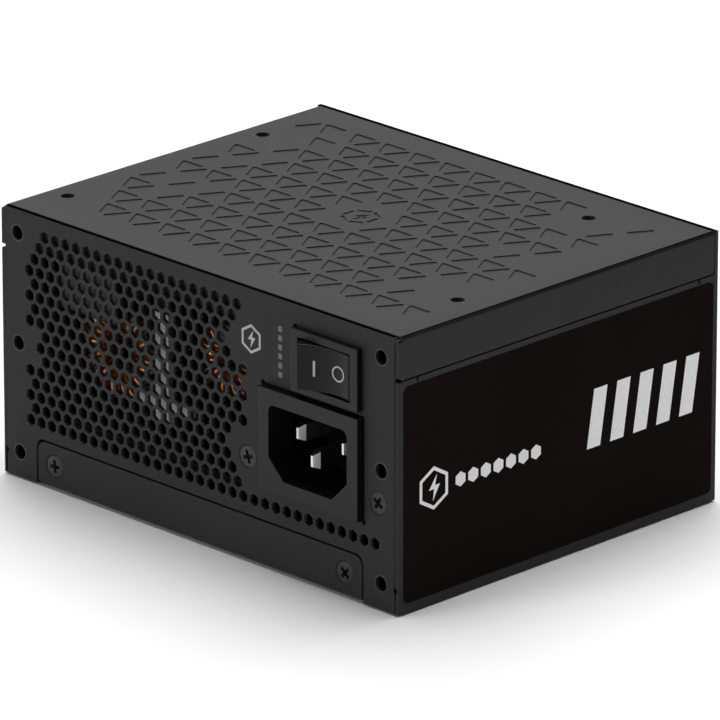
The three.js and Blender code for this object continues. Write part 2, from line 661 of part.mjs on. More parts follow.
function socket({ columns, x, z, width }) {
  const cells = [];
  for (let i = 0; i < columns; i++) {
    for (const j of [-0.5, 0.5]) {
      const u = x + (i - (columns - 1) / 2) * CELL_PITCH;
      const v = z + j * CELL_PITCH;
      cells.push(box(u - CELL / 2, u + CELL / 2, 45, OUTPUT_FACE + 5, v - CELL / 2, v + CELL / 2));
    }
  }
  const [u, v] = [width / 2, SOCKET_HEIGHT / 2];
  return box(x - u, x + u, MODULAR_PCB_Y + 1.9, OUTPUT_FACE + SOCKET_PROUD, z - v, z + v)
    .subtract(union(cells));
}

// ---------------------------------------------------------------- power parts under the board

const HANG = PCB.bottom - 0.1;

// A toroid that stands on edge, facing the mains end, with its winding around most of it.
function choke(name, { middle, inner, outer, half, wall, sides }) {
  const about = (solid) => solid.rotate([90, 0, 0]).translate(middle);
  const ring = (r0, r1, h) => turnedZ([[r0, -h], [r1, -h], [r1, h], [r0, h], [r0, -h]], sides);
  const core = ring(inner, outer, half);
  const gap = 0.3;
  const space = ring(inner - gap, outer + gap, half + gap);
  const wedge = slabXY(outline([[0, 0], [-outer, outer * 2.4], [outer, outer * 2.4]]), -50, 50);
  const winding = ring(inner - gap - wall, outer + gap + wall, half + gap + wall)
    .subtract(space)
    .subtract(wedge);
  return [named(name + "_core", about(core), FERRITE), named(name + "_winding", about(winding), COPPER)];
}

function canCapacitor(x, y, z0, r, sides = 16) {
  return turnedZ([[0, z0], [r - 0.8, z0], [r, z0 + 0.8], [r, HANG], [0, HANG]], sides).translate([x, y, 0]);
}

// A plate with fins on one side, standing on the board.
function heatSink(x, y0, y1, z0, fins) {
  const plates = [box(x - 1, x + 1, y0, y1, z0, HANG)];
  for (let i = 0; i < fins; i++) {
    const y = y0 + ((y1 - y0) * (i + 0.5)) / fins;
    plates.push(box(x, x + 5, y - 0.6, y + 0.6, z0, HANG - 6));
  }
  return union(plates);
}

// An upright strip between the chokes, with a cross foot near its lower end.
function insulationBarrier() {
  return box(-20, -15.6, -43.5, -42.3, 22, HANG).add(box(-25.6, -8, -43.5, -42.3, 24.8, 27));
}

function transformer() {
  const [x0, x1, y0, y1, z0] = [-17, 13, -6, 20, 27];
  const leg = box(x0, x1, y0 + 4, y1 - 4, z0, HANG - 3)
    .subtract(box(x0 + 5, x0 + 11, y0, y1, z0 + 5, HANG - 8))
    .subtract(box(x1 - 11, x1 - 5, y0, y1, z0 + 5, HANG - 8));
  const coil = box(x0 + 5.3, x1 - 5.3, y0, y1, z0 + 5.3, HANG - 8.3)
    .subtract(box(x0 + 10.7, x1 - 10.7, y0 + 3.7, y1 - 3.7, z0 - 1, HANG + 1));
  return [leg, coil];
}

const SWITCH_WIRE = [[29.4, -25.5, 32.8], [29.2, -22, 34], [30.5, -21, 42], [36, -25, 49.5],
  [38.2, -29, 51.4], [38.2, -30.6, 51.4]];
const NEUTRAL_WIRE = [[43.4, -25.5, 32.8], [43.8, -21.5, 34], [45.5, -18, 42], [46.5, -17, 52],
  [46.5, -17, 57.8]];
const EARTH_WIRE = [[36.4, -25.5, 28.8], [36.6, -22, 29.2], [39, -18, 36], [40, -16, 50], [40, -16, 57.8]];
const FAN_LEAD = [[46.4, 10, 13.5], [48.5, 10, 14.5], [51, 10.5, 20], [52, 12, 34], [52, 13.5, 45],
  [52, 14, 51.4]];

// ---------------------------------------------------------------- assembly

const group = new THREE.Group();
group.position.y = CASE_SHIFT;
const add = (name, solid, material) => group.add(named(name, solid, material));

add("chassis", chassis(), COAT);
add("top_cover", topCover(), COAT);
add("fan_cover", fanCover(), COAT);
add("side_label_right", label(1), LABEL_FILM);
add("side_label_left", label(-1), LABEL_FILM);

add("inlet_housing", inletHousing(), BLACK_PLASTIC);
for (const pin of pinPlaces()) add(pin.name, inletPin(pin), STEEL);
group.add(screw("inlet_screw_left", [INLET_SCREWS[0], MAINS_FACE + SINK, INLET_SCREW_Z], FACING_MAINS));
group.add(screw("inlet_screw_right", [INLET_SCREWS[1], MAINS_FACE + SINK, INLET_SCREW_Z], FACING_MAINS));

add("switch_housing", switchHousing(), BLACK_PLASTIC);
group.add(rocker());
add("switch_terminal_in", switchTerminal(-3), BRASS);
add("switch_terminal_out", switchTerminal(3), BRASS);

add("fan_frame", fanFrame(), BLACK_PLASTIC);
add("fan_rotor", fanRotor(), BLACK_PLASTIC);
add("fan_shaft", fanShaft(), STEEL);
add("fan_bearing", fanBearing(), BRASS);
[[-1, -1], [1, -1], [1, 1], [-1, 1]].forEach(([i, j], n) => {
  group.add(screw(`fan_screw_${n + 1}`, [i * FAN.screws, j * FAN.screws, SINK], FACING_DOWN));
});
for (const [side, x] of [["left", -FLAP_SCREW_X], ["right", FLAP_SCREW_X]]) {
  group.add(screw(`front_flap_screw_${side}`, [x, MAINS_FACE + SINK, FLAP_SCREW_Z], FACING_MAINS));
  group.add(screw(`back_flap_screw_${side}`, [x, OUTPUT_FACE - SINK, FLAP_SCREW_Z], FACING_OUTPUT));
}

add("main_board", mainBoard(), BOARD);
add("modular_board", box(-58, 58, MODULAR_PCB_Y, MODULAR_PCB_Y + 1.6, 19, 57.6), BOARD);
add("insulation_sheet", insulationSheet(), FILM);
STANDOFFS.forEach((place, n) => add(`board_standoff_${n + 1}`, standoff(place), BRASS));
for (const place of socketPlaces()) add(place.name, socket(place), BLACK_PLASTIC);

group.add(...choke("pfc_choke", PFC_CHOKE));
group.add(...choke("emi_choke", EMI_CHOKE));
add("x_capacitor", box(-48.3, -30.1, -45.5, -41, 41.5, HANG), CAPACITOR);
add("insulation_barrier", insulationBarrier(), FILM);
add("primary_heat_sink", heatSink(-51, -27, -5, 22, 5), ALUMINIUM);
add("secondary_heat_sink", heatSink(21, -12, 32, 24, 8), ALUMINIUM);
add("bulk_capacitor", canCapacitor(-40, 10, 20, 14), CAPACITOR);
add("output_capacitor_1", canCapacitor(36, 14, 34, 5, 12), CAPACITOR);
add("output_capacitor_2", canCapacitor(36, 26, 34, 5, 12), CAPACITOR);
const [transformerCore, transformerWinding] = transformer();
add("transformer_core", transformerCore, FERRITE);
add("transformer_winding", transformerWinding, COPPER);

add("fan_connector", box(48.5, 55.5, 11, 17, 51.8, HANG), BLACK_PLASTIC);
add("fan_lead", wireThrough(FAN_LEAD, 1.1, 12), WIRE);
add("wire_live", wireThrough(SWITCH_WIRE, 1.1, 11), WIRE);
add("wire_neutral", wireThrough(NEUTRAL_WIRE, 1.1, 10), WIRE);
add("wire_earth", wireThrough(EARTH_WIRE, 1.1, 10), WIRE);

const part = new THREE.Group();
part.add(group);
export default part;
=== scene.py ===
import math

import bmesh
import bpy
from mathutils import Matrix, Vector


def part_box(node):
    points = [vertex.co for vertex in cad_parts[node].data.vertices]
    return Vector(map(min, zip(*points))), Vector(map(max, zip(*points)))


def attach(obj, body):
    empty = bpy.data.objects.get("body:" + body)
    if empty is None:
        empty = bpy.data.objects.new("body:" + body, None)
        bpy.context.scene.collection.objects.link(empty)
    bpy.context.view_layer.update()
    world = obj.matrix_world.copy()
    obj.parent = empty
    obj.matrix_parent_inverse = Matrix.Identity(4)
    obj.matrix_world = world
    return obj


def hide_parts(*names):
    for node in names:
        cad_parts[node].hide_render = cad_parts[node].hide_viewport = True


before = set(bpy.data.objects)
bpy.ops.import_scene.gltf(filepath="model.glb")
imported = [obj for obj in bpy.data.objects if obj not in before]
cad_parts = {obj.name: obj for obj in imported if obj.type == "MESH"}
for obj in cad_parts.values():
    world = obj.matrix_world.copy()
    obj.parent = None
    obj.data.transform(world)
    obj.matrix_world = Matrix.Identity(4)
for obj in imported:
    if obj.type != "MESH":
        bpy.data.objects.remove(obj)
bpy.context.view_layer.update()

# The object's own lengths are millimetres about the middle of the case's footprint, with the mains
# end at -Y. Those of the camera, the lights and the floor are metres.
MM = 0.001
CASE_LOW, CASE_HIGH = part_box("chassis")
CASE_Y = (CASE_LOW.y + CASE_HIGH.y) / 2
HALF_W = (CASE_HIGH.x - CASE_LOW.x) / 2 / MM
FRONT = (CASE_LOW.y - CASE_HIGH.y) / 2 / MM
HEIGHT = CASE_HIGH.z / MM


def case_point(x, y, z):
    """A point of the case's own drawing, in the frame's metres."""
    return Vector((x * MM, y * MM + CASE_Y, z * MM))


# ------------------------------------------------------------------ camera, floor and light

CAMERA_AZIMUTH = 45.16
CAMERA_ELEVATION = 20.0
CAMERA_DISTANCE = 2.0447
CAMERA_LENS = 459.26
CAMERA_TARGET = case_point(0.7, -0.2, 30.06)
WORLD_STRENGTH = 0.1
# Name, place, size and power in watts. Each faces LIGHT_TARGET.
LIGHTS = [
    ("top_light", (-0.3, 0.5, 2.2), (2.4, 2.4), 90),
    ("key_light", (-0.9, -2.3, 0.8), (0.7, 0.7), 15),
    ("fill_light", (1.8, -1.0, 0.3), (0.9, 0.4), 2),
    ("back_light", (-1.6, 1.6, 0.9), (1.6, 0.9), 7),
]
LIGHT_TARGET = Vector((0, 0, 0.03))
FLOOR_HALF_SIZE = 5
FLOOR_Z = -0.0004


def make_camera():
    azimuth, elevation = math.radians(CAMERA_AZIMUTH), math.radians(CAMERA_ELEVATION)
    flat = math.cos(elevation)
    back = Vector((math.sin(azimuth) * flat, -math.cos(azimuth) * flat, math.sin(elevation)))
    data = bpy.data.cameras.new("camera")
    data.lens = CAMERA_LENS
    data.sensor_width = 36
    data.clip_start, data.clip_end = 0.05, 50
    camera = bpy.data.objects.new("camera", data)
    camera.location = CAMERA_TARGET + back * CAMERA_DISTANCE
    camera.rotation_euler = (-back).to_track_quat("-Z", "Y").to_euler()
    bpy.context.scene.collection.objects.link(camera)
    bpy.context.scene.camera = camera


def area_light(name, place, size, power):
    data = bpy.data.lights.new(name, "AREA")
    data.shape = "RECTANGLE"
    data.size, data.size_y = size
    data.energy = power
    light = bpy.data.objects.new(name, data)
    light.location = place
    light.rotation_euler = (LIGHT_TARGET - Vector(place)).to_track_quat("-Z", "Y").to_euler()
    bpy.context.scene.collection.objects.link(light)


def make_lights():
    scene = bpy.context.scene
    scene.view_settings.view_transform = "Standard"
    world = bpy.data.worlds.new("studio")
    world.use_nodes = True
    sky = world.node_tree.nodes["Background"]
    sky.inputs["Color"].default_value = (1, 1, 1, 1)
    sky.inputs["Strength"].default_value = WORLD_STRENGTH
    scene.world = world
    for light in LIGHTS:
        area_light(*light)


def make_floor():
    bm = bmesh.new()
    bmesh.ops.create_grid(bm, x_segments=8, y_segments=8, size=FLOOR_HALF_SIZE)
    floor = new_object("floor", mesh_of(bm, "floor"))
    floor.location.z = FLOOR_Z
    material, tree, shader = new_material("floor_paint")
    noise = add_node(tree, "ShaderNodeTexNoise", Scale=3.0, Detail=2.0)
    ramp = colour_ramp(tree, noise, [(0.3, (0.77, 0.77, 0.77)), (0.7, (0.79, 0.79, 0.79))])
    tree.links.new(ramp.outputs["Color"], shader.inputs["Base Color"])
    shader.inputs["Roughness"].default_value = 0.9
    shader.inputs["Specular IOR Level"].default_value = 0.1
    relief = add_node(tree, "ShaderNodeBump", Strength=0.1, Distance=0.0002)
    tree.links.new(noise.outputs["Fac"], relief.inputs["Height"])
    tree.links.new(relief.outputs["Normal"], shader.inputs["Normal"])
    floor.data.materials.append(material)


# ------------------------------------------------------------------ materials


def new_material(name):
    material = bpy.data.materials.new(name)
    material.use_nodes = True
    tree = material.node_tree
    return material, tree, tree.nodes["Principled BSDF"]


def add_node(tree, kind, **values):
    node = tree.nodes.new(kind)
    for key, value in values.items():
        node.inputs[key.replace("_", " ")].default_value = value
    return node


def object_coordinates(tree, scale):
    coordinates = tree.nodes.new("ShaderNodeTexCoord")
    mapping = tree.nodes.new("ShaderNodeMapping")
    mapping.inputs["Scale"].default_value = scale
    tree.links.new(coordinates.outputs["Object"], mapping.inputs["Vector"])
    return mapping.outputs["Vector"]


def colour_ramp(tree, noise, stops):
    ramp = tree.nodes.new("ShaderNodeValToRGB")
    elements = ramp.color_ramp.elements
    while len(elements) < len(stops):
        elements.new(0.5)
    for element, (place, colour) in zip(elements, stops):
        element.position = place
        element.color = (*colour, 1)
    tree.links.new(noise.outputs["Fac"], ramp.inputs["Fac"])
    return ramp


def noise_at(tree, vector, scale, detail):
    noise = add_node(tree, "ShaderNodeTexNoise", Scale=scale, Detail=detail, Roughness=0.55)
    tree.links.new(vector, noise.inputs["Vector"])
    return noise


def range_of(tree, noise, low, high):
    """The noise's 0 to 1 output mapped to low to high."""
    node = tree.nodes.new("ShaderNodeMapRange")
    node.inputs["To Min"].default_value = low
    node.inputs["To Max"].default_value = high
    tree.links.new(noise.outputs["Fac"], node.inputs["Value"])
    return node.outputs["Result"]


def shaded(colour, factor):
    return tuple(min(1, c * factor) for c in colour)


def surface(name, colour, roughness, metallic=0.0, spread=0.12, grain=900, bump=0.12,
            depth=0.06 * MM, stretch=(1, 1, 1), specular=0.5, patch=28, rough_spread=0.06, coat=0.0):
    """A finish with slow patches in its colour and roughness, and a fine grain in its colour and bump.

    spread and rough_spread say how far the patches stray, patch and grain are the noise scales, and
    stretch draws both out along an axis.
    """
    material, tree, shader = new_material(name)
    vector = object_coordinates(tree, stretch)
    patches = noise_at(tree, vector, patch, 4.0)
    fine = noise_at(tree, vector, grain, 2.0)
    base = colour_ramp(tree, patches, [(0.3, shaded(colour, 1 - spread)),
                                       (0.7, shaded(colour, 1 + spread))])
    speck = tree.nodes.new("ShaderNodeMix")
    speck.data_type = "RGBA"
    speck.blend_type = "MULTIPLY"
    speck.inputs["Factor"].default_value = 0.35
    tint = colour_ramp(tree, fine, [(0.35, (0.82, 0.82, 0.82)), (0.65, (1, 1, 1))])
    tree.links.new(base.outputs["Color"], speck.inputs["A"])
    tree.links.new(tint.outputs["Color"], speck.inputs["B"])
    tree.links.new(speck.outputs["Result"], shader.inputs["Base Color"])
    tree.links.new(range_of(tree, patches, roughness - rough_spread, roughness + rough_spread),
                   shader.inputs["Roughness"])
    shader.inputs["Metallic"].default_value = metallic
    shader.inputs["Specular IOR Level"].default_value = specular
    shader.inputs["Coat Weight"].default_value = coat
    relief = add_node(tree, "ShaderNodeBump", Strength=bump, Distance=depth)
    tree.links.new(fine.outputs["Fac"], relief.inputs["Height"])
    tree.links.new(relief.outputs["Normal"], shader.inputs["Normal"])
    return material


FINISHES = {
    "powder_coat": dict(colour=(0.031, 0.031, 0.0315), roughness=0.5, spread=0.07, grain=1500, bump=0.3,
                        depth=0.12 * MM, specular=0.08, patch=20, rough_spread=0.05),
    "black_plastic": dict(colour=(0.004, 0.004, 0.0042), roughness=0.4, grain=2200, specular=0.14),
    # A lighter plastic for the housings' front faces, against the near black of their sides: painted
    # light and shade.
    "lit_face_plastic": dict(colour=(0.016, 0.016, 0.0165), roughness=0.42, grain=2200, bump=0.16,
                         specular=0.2),
    "rocker_plastic": dict(colour=(0.004, 0.004, 0.0043), roughness=0.3, grain=2400, bump=0.06,
                           specular=0.18),
    # The next two finishes are painted shade: a near black and a dark grey coat that stand in for the
    # shadow lines along the case's upper rims and the cover's side bends.
    "painted_shade_edge": dict(colour=(0.0012, 0.0012, 0.0012), roughness=0.7, grain=1500, bump=0.2,
                     specular=0.0),
    "bend_shade": dict(colour=(0.009, 0.009, 0.0092), roughness=0.6, grain=1500, bump=0.25,
                       specular=0.02),
    # A lighter coat for the mounting holes' rims: a painted highlight.
    "highlight_coat": dict(colour=(0.046, 0.046, 0.046), roughness=0.4, metallic=0.3, grain=1500,
                        bump=0.2),
    "label_film": dict(colour=(0.01, 0.0062, 0.0062), roughness=0.45, spread=0.1, grain=600,
                       bump=0.02, specular=0.004),
    "label_ink": dict(colour=(0.86, 0.86, 0.86), roughness=0.45, spread=0.02, grain=1200, bump=0.03),
    "panel_ink": dict(colour=(0.42, 0.42, 0.42), roughness=0.5, spread=0.04, grain=1200, bump=0.05),
    "faint_ink": dict(colour=(0.11, 0.11, 0.11), roughness=0.5, spread=0.04, grain=1200, bump=0.05),
    # A brighter plating for the pins' tips: a painted highlight.
    "pin_highlight_plate": dict(colour=(0.85, 0.85, 0.83), roughness=0.45, metallic=0.85, spread=0.04,
                      bump=0.08),
    "nickel_plate": dict(colour=(0.72, 0.72, 0.7), roughness=0.24, metallic=1.0, spread=0.05,
                         grain=700, bump=0.08, stretch=(1, 0.1, 1)),
    "black_screws": dict(colour=(0.025, 0.025, 0.025), roughness=0.42, metallic=0.3, grain=1800),
    "brass": dict(colour=(0.62, 0.46, 0.2), roughness=0.3, metallic=1.0, spread=0.1, bump=0.1),
    "circuit_board": dict(colour=(0.015, 0.04, 0.022), roughness=0.38, spread=0.25, grain=500,
                          bump=0.1, patch=160, coat=0.3),
    "copper_wire": dict(colour=(0.78, 0.3, 0.09), roughness=0.28, metallic=0.9, spread=0.18,
                        bump=0.06, coat=0.4, patch=90),
    "ferrite": dict(colour=(0.045, 0.045, 0.05), roughness=0.7, spread=0.15, grain=1200, bump=0.2),
    "aluminium": dict(colour=(0.55, 0.55, 0.57), roughness=0.36, metallic=1.0, spread=0.06,
                      stretch=(1, 1, 0.06)),
    "capacitor_sleeve": dict(colour=(0.03, 0.03, 0.04), roughness=0.32, spread=0.1, grain=400,
                             bump=0.05),
    "insulation_film": dict(colour=(0.62, 0.62, 0.58), roughness=0.5, spread=0.05, bump=0.05),
    "wire_sleeve": dict(colour=(0.025, 0.025, 0.025), roughness=0.5, spread=0.1, grain=1500, bump=0.1),
}
MATERIALS = {name: surface(name, **finish) for name, finish in FINISHES.items()}

# ------------------------------------------------------------------ mesh tools


def new_object(name, mesh):
    obj = bpy.data.objects.new(name, mesh)
    bpy.context.scene.collection.objects.link(obj)
    return obj


def mesh_of(bm, name):
    bmesh.ops.recalc_face_normals(bm, faces=bm.faces)
    mesh = bpy.data.meshes.new(name)
    bm.to_mesh(mesh)
    bm.free()
    return mesh


# A place function sets a flat drawing (u, v), with w square to it, in the case. case_point itself is
# the one for drawings seen from above.


def on_front(u, v, w):
    return case_point(u, w, v)


def on_side(u, v, w):
    return case_point(w, u, v)


def prism(bm, outline, place, low, high):
    """Adds a closed prism over a flat outline, from w = low to w = high."""
    near = [bm.verts.new(place(u, v, low)) for u, v in outline]
    far = [bm.verts.new(place(u, v, high)) for u, v in outline]
    count = len(outline)
    for i in range(count):
        j = (i + 1) % count
        bm.faces.new((near[i], near[j], far[j], far[i]))
    bm.faces.new(list(reversed(near)))
    bm.faces.new(far)


def arc(u, v, r, start, end, steps):
    turn = [math.radians(start + (end - start) * i / steps) for i in range(steps + 1)]
    return [(u + r * math.cos(a), v + r * math.sin(a)) for a in turn]


def rounded(corners, r, steps):
    """The outline of a convex polygon, drawn anticlockwise, with its corners rounded."""
    outline = []
    count = len(corners)
    for i in range(count):
        here = Vector(corners[i])
        before = (Vector(corners[i - 1]) - here).normalized()
        after = (Vector(corners[(i + 1) % count]) - here).normalized()
        half = before.angle(after) / 2
        centre = here + (before + after).normalized() * (r / math.sin(half))
        first = here + before * (r / math.tan(half)) - centre
        last = here + after * (r / math.tan(half)) - centre
        sweep = first.angle_signed(last)
        for k in range(steps + 1):
            a = math.atan2(first.y, first.x) - sweep * k / steps
            outline.append((centre.x + r * math.cos(a), centre.y + r * math.sin(a)))
    return outline


def rounded_rect(u0, u1, v0, v1, r, steps):
    return rounded([(u0, v0), (u1, v0), (u1, v1), (u0, v1)], r, steps)


def regular(u, v, r, sides, start=0):
    turn = [math.radians(start + 360 * i / sides) for i in range(sides)]
    return [(u + r * math.cos(a), v + r * math.sin(a)) for a in turn]


def turned(bm, profile, sides, place):
    """Adds a solid of revolution from a profile of (radius, height).

    The profile starts and ends on the axis, or it is a closed loop around a bore.
    """
    rings = []
    for r, h in profile:
        if r == 0:
            rings.append([bm.verts.new(place(0, 0, h))])
        else:
            rings.append([bm.verts.new(place(u, v, h)) for u, v in regular(0, 0, r, sides)])
    pairs = list(zip(rings, rings[1:]))
    if profile[0][0] > 0:
        pairs.append((rings[-1], rings[0]))
    for a, b in pairs:
        for i in range(sides):
            j = (i + 1) % sides
            if len(a) == 1:
                bm.faces.new((a[0], b[j], b[i]))
            elif len(b) == 1:
                bm.faces.new((a[i], a[j], b[0]))
            else:
                bm.faces.new((a[i], a[j], b[j], b[i]))


MOST_CORNERS = 8


def cut_crowded(bm):
    """Cuts the faces with many corners into triangles, so that none of them folds over its holes."""
    crowded = [face for face in bm.faces if len(face.verts) > MOST_CORNERS]
    bmesh.ops.triangulate(bm, faces=crowded)


def copied(node, name):
    """A clean copy of a CAD node's mesh, to be finished as a piece of its own."""
    bm = bmesh.new()
    bm.from_mesh(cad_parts[node].data)
    bmesh.ops.remove_doubles(bm, verts=bm.verts, dist=1e-6)
    bmesh.ops.dissolve_limit(bm, angle_limit=math.radians(0.5), verts=bm.verts, edges=bm.edges)
    cut_crowded(bm)
    mesh = mesh_of(bm, name)
    cad_normals = mesh.attributes.get("custom_normal")
    if cad_normals:
        mesh.attributes.remove(cad_normals)
    return new_object(name, mesh)


def evaluated_mesh(obj):
    """A mesh of the object as its modifiers, or its curve's thickness, make it."""
    bpy.context.view_layer.update()
    graph = bpy.context.evaluated_depsgraph_get()
    return bpy.data.meshes.new_from_object(obj.evaluated_get(graph))


def applied(obj):
    """Makes the object's modifiers part of its mesh."""
    mesh = evaluated_mesh(obj)
    obj.modifiers.clear()
    obj.data = mesh
    return obj


def carve(obj, cutter):
    cut = obj.modifiers.new("cut", "BOOLEAN")
    cut.operation = "DIFFERENCE"
    cut.solver = "EXACT"
    cut.object = cutter
    applied(obj)
    bpy.data.objects.remove(cutter)
    bm = bmesh.new()
    bm.from_mesh(obj.data)
    cut_crowded(bm)
    bm.to_mesh(obj.data)
    bm.free()


def weigh_edges(obj, angle, chosen):
    """Marks the edges to round: those sharper than the angle for which chosen(middle) is true."""
    bm = bmesh.new()
    bm.from_mesh(obj.data)
    weight = bm.edges.layers.float.new("bevel_weight_edge")
    for edge in bm.edges:
        middle = (edge.verts[0].co + edge.verts[1].co) / 2 - Vector((0, CASE_Y, 0))
        if edge.calc_face_angle(0) > math.radians(angle) and chosen(middle / MM):
            edge[weight] = 1
    bm.to_mesh(obj.data)
    bm.free()


def soften(obj, width, angle=42, sharp=32, crease=None, chosen=None):
    """Rounds the edges sharper than the angle by a width in millimetres, and keeps the flats flat.

    A shape with no width keeps its edges, and those above the sharp angle stay crisp in the shading.
    A crease angle does the same after the rounding, for large flats cut by many small shapes.
    chosen, if given, says by an edge's middle, in case millimetres, whether it is rounded.
    """
    if chosen:
        weigh_edges(obj, angle, chosen)
    obj.data.shade_smooth()
    if not width:
        obj.data.set_sharp_from_angle(angle=math.radians(sharp))
        return obj
    bevel = obj.modifiers.new("edges", "BEVEL")
    bevel.width = width * MM
    bevel.segments = 2
    bevel.limit_method = "WEIGHT" if chosen else "ANGLE"
    bevel.angle_limit = math.radians(angle)
    bevel.use_clamp_overlap = False
    if crease:
        applied(obj)
        obj.data.set_sharp_from_angle(angle=math.radians(crease))
        return obj
    normals = obj.modifiers.new("normals", "WEIGHTED_NORMAL")
    normals.mode = "FACE_AREA"
    normals.weight = 100
    return applied(obj)


def dress(obj, body, slot, material=None, nodes=()):
    obj.data.materials.clear()
    obj.data.materials.append(MATERIALS[material or slot])
    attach(obj, body)
    if nodes:
        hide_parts(*nodes)
    return obj


def finished(node, slot, width, angle=42):
    """A CAD node of the case with softened edges, in place of that node."""
    obj = copied(node, node + "_piece")
    soften(obj, width, angle)
    return dress(obj, "case", slot, nodes=[node])


def repaint(obj, material, chosen):
    """Gives a second finish to the faces for which chosen(middle, normal) is true.

    The middle is in case millimetres.
    """
    obj.data.materials.append(MATERIALS[material])
    index = len(obj.data.materials) - 1
    for face in obj.data.polygons:
        middle = (face.center - Vector((0, CASE_Y, 0))) / MM
        if chosen(middle, face.normal):
            face.material_index = index


def piece(name, bm, body, slot, material=None, nodes=(), width=0, angle=42):
    obj = new_object(name, mesh_of(bm, name))
    soften(obj, width, angle)
    dress(obj, body, slot, material, nodes)


# ------------------------------------------------------------------ case

# The top cover is pressed with rows of triangles that point to the mains end and away from it by
# turns. Those that point away stand TRIANGLE_LIFT nearer to it. The first X is that of place 0, and
# the first Y is that of the bases in the first row.
TRIANGLE_PITCH = 4.75
TRIANGLE_FIRST_X = -47.6
TRIANGLE_ROW = 8.158
TRIANGLE_FIRST_Y = -32.75
TRIANGLE_SIDE = 6.9
TRIANGLE_HEIGHT = 6.0
TRIANGLE_LIFT = 0.25
TRIANGLE_CORNER_R = 0.45
DEBOSS = 0.26
# The emblem in the middle of the cover, a hexagon in six bars round a bolt.
EMBLEM = (0, 0.6)
EMBLEM_R, EMBLEM_INNER_R = 4.8, 3.9
EMBLEM_GAP = 0.12
EMBLEM_BOLT = 2.8
# How far in from each side the cover's bends begin.
BEND_WIDE = 1.4
# First and last place of each row, from the mains end, and the places in it that are left plain.
TRIANGLE_ROWS = [
    (1, 21, ()),
    (0, 19, (18,)),
    (-1, 18, (1,)),
    (-1, 20, (0, 2)),
    (-1, 21, (9, 10, 11)),
    (-1, 19, (0, 9, 10, 11, 18)),
    (-1, 20, (1,)),
    (1, 20, (19,)),
    (1, 20, (2, 17, 18, 19)),
    (-1, 21, (1, 17, 18, 19, 20)),
]


def triangle_outlines():
    half = TRIANGLE_SIDE / 2
    for row, (first, last, plain) in enumerate(TRIANGLE_ROWS):
        flat = TRIANGLE_FIRST_Y + row * TRIANGLE_ROW
        for place in range(first, last + 1):
            if place in plain:
                continue
            x = TRIANGLE_FIRST_X + place * TRIANGLE_PITCH
            if (place + row) % 2:
                corners = [(x - half, flat), (x, flat - TRIANGLE_HEIGHT), (x + half, flat)]
            else:
                base = flat - TRIANGLE_HEIGHT - TRIANGLE_LIFT
                corners = [(x - half, base), (x + half, base), (x, base + TRIANGLE_HEIGHT)]
            yield rounded(corners, TRIANGLE_CORNER_R, 3)


def bolt_outline(u, v, size):
    """A plain lightning bolt, the common sign for electric power."""
    shape = [(-0.1, -1.0), (0.62, 0.2), (0.12, 0.2), (0.32, 1.0), (-0.5, -0.1), (0.02, -0.1)]
    return [(u + a * size, v + b * size) for a, b in shape]


def between(a, b, part):
    """The point that is a part of the way from a to b."""
    return a[0] + (b[0] - a[0]) * part, a[1] + (b[1] - a[1]) * part


def hexagon_bars(u, v, outer_r, inner_r, gap=0):
    """The six sides of a hexagonal frame. gap is the part of each that is left out at either end."""
    outer, inner = regular(u, v, outer_r, 6, 30), regular(u, v, inner_r, 6, 30)
    for i in range(6):
        j = (i + 1) % 6
        a, b, c, d = outer[i], outer[j], inner[j], inner[i]
        yield [between(a, b, gap), between(b, a, gap), between(c, d, gap), between(d, c, gap)]


def top_cover():
    cover = copied("top_cover", "top_cover_piece")
    pressed = [*triangle_outlines(), *hexagon_bars(*EMBLEM, EMBLEM_R, EMBLEM_INNER_R, EMBLEM_GAP),
               bolt_outline(*EMBLEM, EMBLEM_BOLT)]
    bm = bmesh.new()
    for outline in pressed:
        prism(bm, outline, case_point, HEIGHT - DEBOSS, HEIGHT + 1)
    carve(cover, new_object("cutter", mesh_of(bm, "cutter")))
    soften(cover, 0.06, crease=12)
    dress(cover, "case", "powder_coat", nodes=["top_cover"])
    # Painted shade: the first facet of each side bend is painted near black and the next dark grey, for
    # the shadow line along the bend.
    bends_x = HALF_W - BEND_WIDE
    repaint(cover, "painted_shade_edge", lambda at, n: abs(at.x) > bends_x and 0.9 < n.z < 0.99)
    repaint(cover, "bend_shade", lambda at, n: abs(at.x) > bends_x and 0.5 < n.z <= 0.9)


MOUNT_X = (-57.2, 57.2)
MOUNT_Z = (6, 32, 58)
RIM_PROFILE = [(1.74, 0.004), (1.74, 0.03), (1.9, 0.03), (1.97, 0.004)]


def mount_rims():
    """The proud rims of the six mounting holes in the mains end, in a lighter coat that is a painted
    highlight.
    """
    for i, (x, z) in enumerate((x, z) for x in MOUNT_X for z in MOUNT_Z):

        def here(u, v, w):
            return case_point(x + u, FRONT - w, z + v)

        bm = bmesh.new()
        turned(bm, RIM_PROFILE, 40, here)
        piece(f"mount_rim_{i + 1}", bm, "case", "powder_coat", "highlight_coat")


# The cover's strips stand in shallow steps at the mains end's corners, whose edges are too close
# together to round.
STEPS_X = 61
STEPS_Y = FRONT + 1.5
UPPER_RIM_Z = HEIGHT - 0.3


def case_shell():
    chassis = copied("chassis", "chassis_piece")
    soften(chassis, 0.1, chosen=lambda at: at.y > STEPS_Y or abs(at.x) < STEPS_X)
    dress(chassis, "case", "powder_coat", nodes=["chassis"])
    # Painted shade: the chassis walls' upper rims are painted near black, for the shadow line under the
    # cover's edge.
    repaint(chassis, "painted_shade_edge", lambda at, n: at.z > UPPER_RIM_Z and n.z > 0.5)
    finished("fan_cover", "powder_coat", 0.12)
    top_cover()
    mount_rims()


# ------------------------------------------------------------------ printed marks

